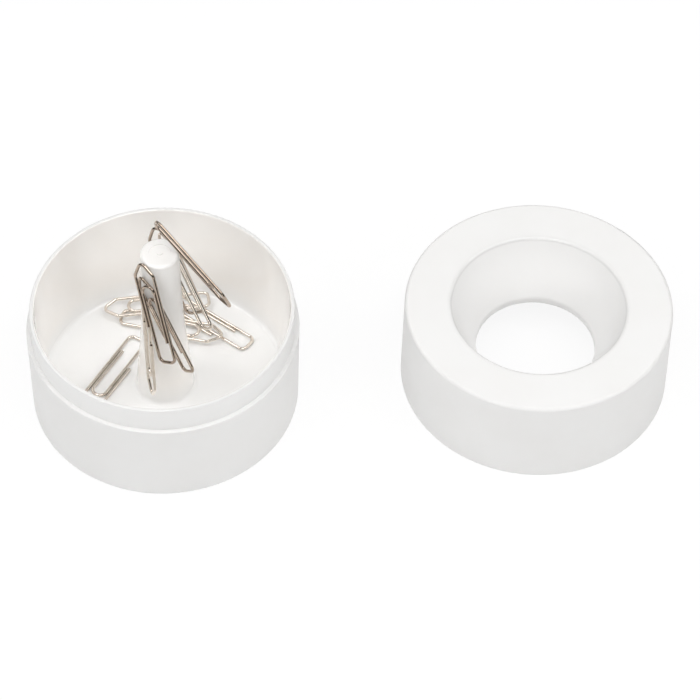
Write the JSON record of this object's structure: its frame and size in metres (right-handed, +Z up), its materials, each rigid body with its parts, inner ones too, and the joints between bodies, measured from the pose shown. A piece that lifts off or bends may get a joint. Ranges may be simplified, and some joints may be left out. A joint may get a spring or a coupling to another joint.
{
  "type": "magnetic paper clip holder",
  "caption": "Round desk cup with a magnetic centre post that holds paper clips, and a funnel-topped ring lid standing beside it.",
  "frame": {"origin": "centre of the pad under the cup, on the table", "axes": "+Z up along the post, +X from the cup's centre to the lid's centre, +Y away from the viewer"},
  "size_m": [0.167, 0.07, 0.0636],
  "materials": {
    "white_plastic": "finely textured outside, smoother inside the cup",
    "magnet": "nickel-plated",
    "plug_plastic": "as moulded",
    "pad_foam": "fine closed-cell foam",
    "nickel_wire": "bright nickel-plated wire"
  },
  "bodies": {
    "holder": {"cup": "white_plastic", "magnet": "magnet", "magnet_plug": "plug_plastic", "base_pad": "pad_foam"},
    "lid": {"lid": "white_plastic"},
    "front_clips": {"clip_front_left": "nickel_wire", "clip_front_low": "nickel_wire", "clip_front_right": "nickel_wire"},
    "back_clips": {"clip_back_right": "nickel_wire", "clip_back": "nickel_wire"},
    "top_clip": {"clip_top": "nickel_wire"},
    "floor_clip": {"clip_floor_left": "nickel_wire"},
    "pile": {"clip_pile_low": "nickel_wire", "clip_pile_middle": "nickel_wire", "clip_pile_high": "nickel_wire"}
  },
  "joints": [
    {"name": "lid_lift", "type": "slide", "parent": "holder", "child": "lid", "axis": [0, 0, 1], "range_m": [0, 0.07]},
    {"name": "front_clips_pull", "type": "slide", "parent": "holder", "child": "front_clips", "axis": [-0.4056, -0.4056, 0.8192], "range_m": [0, 0.04]},
    {"name": "back_clips_pull", "type": "slide", "parent": "holder", "child": "back_clips", "axis": [0.1228, 0.6964, 0.7071], "range_m": [0, 0.04]},
    {"name": "top_clip_pull", "type": "slide", "parent": "holder", "child": "top_clip", "axis": [0.5704, -0.06, 0.8192], "range_m": [0, 0.035]},
    {"name": "floor_clip_lift", "type": "slide", "parent": "holder", "child": "floor_clip", "axis": [0, 0, 1], "range_m": [0, 0.045]},
    {"name": "pile_lift", "type": "slide", "parent": "holder", "child": "pile", "axis": [0, 0, 1], "range_m": [0, 0.045]}
  ]
}
